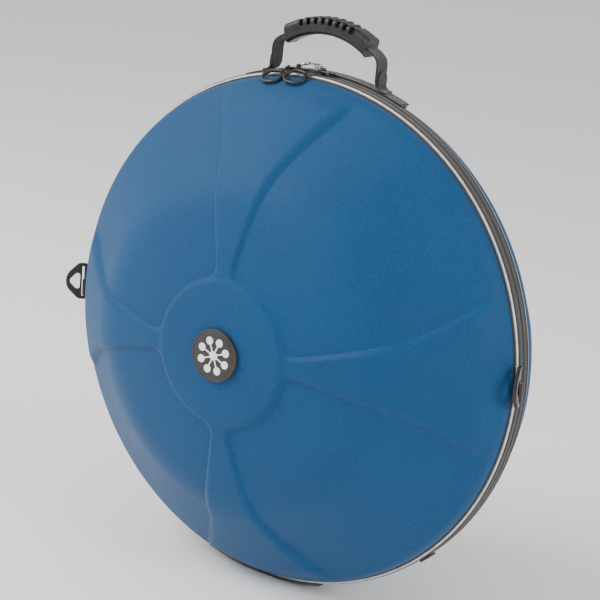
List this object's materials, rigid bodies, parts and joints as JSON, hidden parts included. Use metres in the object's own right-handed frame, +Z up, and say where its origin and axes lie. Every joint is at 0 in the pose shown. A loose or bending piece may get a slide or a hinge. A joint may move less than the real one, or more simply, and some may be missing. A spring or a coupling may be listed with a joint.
{
  "type": "handpan case",
  "caption": "Round hard foam carrying case for a handpan, opening around a zip into two domed halves, with a top carrying handle, D-rings and zip sliders with finger loops.",
  "frame": {"origin": "on the ground under the case as it stands on its rim: straight under the dome axis, on the plane 4 mm behind the zip's own plane, which is about midway between the two domes", "axes": "+X to the right seen from the badge side, +Y from the badge side to the back, along the axis of the two domes, +Z up through the handle"},
  "size_m": [0.64, 0.31, 0.6715],
  "materials": {
    "shell_fabric": "woven polyester laminated on moulded foam",
    "lining": "brushed lining",
    "piping": "satin vinyl piping",
    "band_fabric": "coarse woven polyester",
    "zip_tape": "woven tape",
    "zip_coil": "moulded coil",
    "foot_rubber": "matt rubber",
    "webbing": "ribbed webbing",
    "badge_rubber": "satin rubber",
    "badge_print": "raised light print",
    "grip_rubber": "satin moulded rubber",
    "slider_metal": "dark nickel",
    "ring_metal": "nickel plated",
    "loop_rubber": "matt rubber",
    "cord": "braided cord",
    "d_ring_plastic": "moulded acetal"
  },
  "bodies": {
    "back": {"back_shell": "shell_fabric", "back_lining": "lining", "back_piping": "piping", "back_gusset": "band_fabric", "back_zip_tape": "zip_tape", "back_zip_coil": "zip_coil", "hinge_panel": "band_fabric", "back_foot": "foot_rubber", "zip_stop_left": "band_fabric", "zip_stop_right": "band_fabric", "handle_base": "webbing", "handle_anchor_left": "webbing", "handle_anchor_right": "webbing"},
    "lid": {"front_shell": "shell_fabric", "front_lining": "lining", "front_piping": "piping", "front_gusset": "band_fabric", "front_zip_tape": "zip_tape", "front_zip_coil": "zip_coil", "front_foot": "foot_rubber", "badge": "badge_rubber", "badge_emblem": "badge_print", "d_tab_left": "webbing", "d_tab_right": "webbing"},
    "handle": {"handle_webbing": "webbing", "handle_grip": "grip_rubber"},
    "slider_left": {"slider_left": "slider_metal"},
    "slider_right": {"slider_right": "slider_metal"},
    "puller_left": {"puller_left": "ring_metal"},
    "puller_right": {"puller_right": "ring_metal"},
    "finger_loop_left": {"pull_loop_left": "loop_rubber", "pull_cord_left": "cord"},
    "finger_loop_right": {"pull_loop_right": "loop_rubber", "pull_cord_right": "cord"},
    "d_ring_left": {"d_ring_left": "d_ring_plastic"},
    "d_ring_right": {"d_ring_right": "d_ring_plastic"}
  },
  "joints": [
    {"name": "lid_hinge", "type": "hinge", "parent": "back", "child": "lid", "pos_m": [0, -0.004, -0.0003], "axis": [1, 0, 0], "range_deg": [0, 50]},
    {"name": "handle_fold", "type": "hinge", "parent": "back", "child": "handle", "pos_m": [0, 0.011, 0.6135], "axis": [1, 0, 0], "range_deg": [-45, 45]},
    {"name": "slider_left_run", "type": "hinge", "parent": "lid", "child": "slider_left", "pos_m": [0, -0.004, 0.305], "axis": [0, -1, 0], "range_deg": [0, 73]},
    {"name": "slider_right_run", "type": "hinge", "parent": "lid", "child": "slider_right", "pos_m": [0, -0.004, 0.305], "axis": [0, 1, 0], "range_deg": [0, 77]},
    {"name": "puller_left_swing", "type": "hinge", "parent": "slider_left", "child": "puller_left", "pos_m": [-0.02952, -0.004, 0.61303], "axis": [0, -1, 0], "range_deg": [0, 120]},
    {"name": "puller_right_swing", "type": "hinge", "parent": "slider_right", "child": "puller_right", "pos_m": [0.00526, -0.004, 0.6144], "axis": [0, 1, 0], "range_deg": [0, 120]},
    {"name": "finger_loop_left_swing", "type": "hinge", "parent": "slider_left", "child": "finger_loop_left", "pos_m": [-0.03727, -0.0122, 0.61035], "axis": [-0.9938, 0, -0.1115], "range_deg": [0, 45]},
    {"name": "finger_loop_right_swing", "type": "hinge", "parent": "slider_right", "child": "finger_loop_right", "pos_m": [0.0072, -0.0122, 0.61253], "axis": [-0.9995, 0, 0.0332], "range_deg": [0, 45]},
    {"name": "d_ring_left_swing", "type": "hinge", "parent": "lid", "child": "d_ring_left", "pos_m": [-0.30588, -0.02, 0.29646], "axis": [0.0279, 0, -0.9996], "range_deg": [-70, 110]},
    {"name": "d_ring_right_swing", "type": "hinge", "parent": "lid", "child": "d_ring_right", "pos_m": [0.30546, -0.02, 0.32315], "axis": [-0.0593, 0, 0.9982], "range_deg": [-39, 140]}
  ]
}
